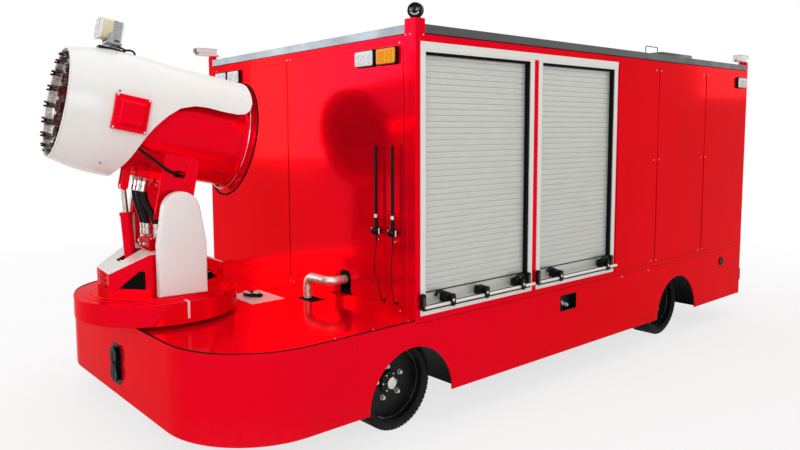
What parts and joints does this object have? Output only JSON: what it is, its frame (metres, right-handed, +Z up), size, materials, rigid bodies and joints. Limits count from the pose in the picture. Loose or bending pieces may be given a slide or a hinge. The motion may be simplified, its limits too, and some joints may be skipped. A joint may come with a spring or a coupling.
{
  "type": "wheeled firefighting robot",
  "caption": "Low-floor firefighting robot on rubber tyres with a box body, roller shutters and a front turntable carrying a tilting mist and smoke fan.",
  "frame": {"origin": "on the ground under the centre of the vehicle's outline", "axes": "+Z up, -Y towards the fan end (front), +X towards the vehicle's left side"},
  "size_m": [2.198, 5.1319, 2.1299],
  "materials": {
    "red_paint": "gloss red enamel on sheet steel",
    "white_paint": "gloss white enamel",
    "black_paint": "black chassis paint",
    "silver_slats": "matt anodised aluminium",
    "grey_trim": "grey anodised aluminium",
    "bare_steel": "bare stainless steel",
    "tyre_rubber": "black tyre rubber",
    "hose_rubber": "black rubber",
    "black_plastic": "black moulded plastic",
    "lamp_plastic": "clear and amber lamp lenses",
    "cast_housing": "painted die-cast housing"
  },
  "bodies": {
    "chassis": {"front_skirt": "red_paint", "left_skirt": "red_paint", "right_skirt": "red_paint", "rear_skirt": "red_paint", "deck_plate": "red_paint", "body_floor": "black_paint", "frame_rails": "black_paint", "cross_members": "black_paint", "front_wall": "red_paint", "rear_wall": "red_paint", "left_wall": "red_paint", "right_wall": "red_paint", "corner_posts": "red_paint", "roof_trim": "grey_trim", "roof_panel": "red_paint", "shutter_frames": "silver_slats", "shutters": "silver_slats", "shutter_bars": "silver_slats", "power_pack": "black_plastic", "signal_lamps": "lamp_plastic", "corner_cameras": "black_plastic", "aerials": "black_plastic", "aerial_lead_inner": "hose_rubber", "aerial_lead_outer": "hose_rubber", "water_pipe": "bare_steel", "tow_hitches": "black_paint", "front_axle": "black_paint", "rear_axle": "black_paint", "leaf_springs": "black_paint", "slew_ring": "black_paint"},
    "left_steer": {"left_knuckle": "black_paint"},
    "right_steer": {"right_knuckle": "black_paint"},
    "track_rod": {"track_rod": "black_paint"},
    "wheel_front_left": {"tyre_front_left": "tyre_rubber", "rim_front_left": "black_paint"},
    "wheel_front_right": {"tyre_front_right": "tyre_rubber", "rim_front_right": "black_paint"},
    "wheel_rear_left": {"tyre_rear_left": "tyre_rubber", "rim_rear_left": "black_paint"},
    "wheel_rear_right": {"tyre_rear_right": "tyre_rubber", "rim_rear_right": "black_paint"},
    "turntable": {"turntable_drum": "red_paint", "base_housing": "red_paint", "top_covers": "white_paint", "side_covers": "white_paint", "yoke": "red_paint", "left_hose": "hose_rubber", "middle_hose": "hose_rubber", "right_hose": "hose_rubber"},
    "lift_barrel": {"lift_barrel": "red_paint"},
    "lift_rod": {"lift_rod": "bare_steel"},
    "fan": {"fan_housing": "red_paint", "fan_shroud": "white_paint", "nozzle_ring": "bare_steel", "fan_brackets": "red_paint", "fan_motor": "black_paint", "side_boxes": "red_paint", "work_lamp": "cast_housing", "fan_cable": "hose_rubber"},
    "rotor": {"fan_rotor": "black_paint"}
  },
  "joints": [
    {"name": "left_steer", "type": "hinge", "parent": "chassis", "child": "left_steer", "pos_m": [0.7295, -1.148, 0.235], "axis": [0, 0, 1], "range_deg": [-25, 25]},
    {"name": "right_steer", "type": "hinge", "parent": "chassis", "child": "right_steer", "pos_m": [-0.7295, -1.148, 0.235], "axis": [0, 0, 1], "range_deg": [-25, 25]},
    {"name": "track_rod_slide", "type": "slide", "parent": "chassis", "child": "track_rod", "axis": [1, 0, 0], "range_m": [-0.06, 0.06]},
    {"name": "wheel_front_left", "type": "hinge", "parent": "left_steer", "child": "wheel_front_left", "pos_m": [0.8495, -1.148, 0.235], "axis": [1, 0, 0], "continuous": true},
    {"name": "wheel_front_right", "type": "hinge", "parent": "right_steer", "child": "wheel_front_right", "pos_m": [-0.8495, -1.148, 0.235], "axis": [1, 0, 0], "continuous": true},
    {"name": "wheel_rear_left", "type": "hinge", "parent": "chassis", "child": "wheel_rear_left", "pos_m": [0.8495, 1.502, 0.235], "axis": [1, 0, 0], "continuous": true},
    {"name": "wheel_rear_right", "type": "hinge", "parent": "chassis", "child": "wheel_rear_right", "pos_m": [-0.8495, 1.502, 0.235], "axis": [1, 0, 0], "continuous": true},
    {"name": "turntable_slew", "type": "hinge", "parent": "chassis", "child": "turntable", "pos_m": [0, -2.006, 0.604], "axis": [0, 0, 1], "range_deg": [-114, 126]},
    {"name": "fan_tilt", "type": "hinge", "parent": "turntable", "child": "fan", "pos_m": [0.00461, -1.96425, 1.135], "axis": [-0.994, 0.1097, 0], "range_deg": [-16.7, 33.3], "deforming": ["left_hose", "middle_hose", "right_hose"]},
    {"name": "lift_swing", "type": "hinge", "parent": "turntable", "child": "lift_barrel", "pos_m": [-0.01383, -2.13124, 0.79], "axis": [-0.994, 0.1097, 0], "range_deg": [-5.2, 10.2]},
    {"name": "lift_stroke", "type": "slide", "parent": "lift_barrel", "child": "lift_rod", "axis": [-0.0071, -0.0644, 0.9979], "range_m": [-0.052, 0.103]},
    {"name": "rotor_spin", "type": "hinge", "parent": "fan", "child": "rotor", "pos_m": [0.00113, -1.99579, 1.57355], "axis": [-0.1075, -0.9733, 0.2028], "continuous": true}
  ],
  "couplings": [
    {"joint": "right_steer", "follows": "left_steer", "ratio": 1},
    {"joint": "track_rod_slide", "follows": "left_steer", "m_per_rad": -0.136},
    {"joint": "lift_swing", "follows": "fan_tilt", "ratio": 0.3028},
    {"joint": "lift_stroke", "follows": "fan_tilt", "m_per_rad": 0.17466}
  ]
}
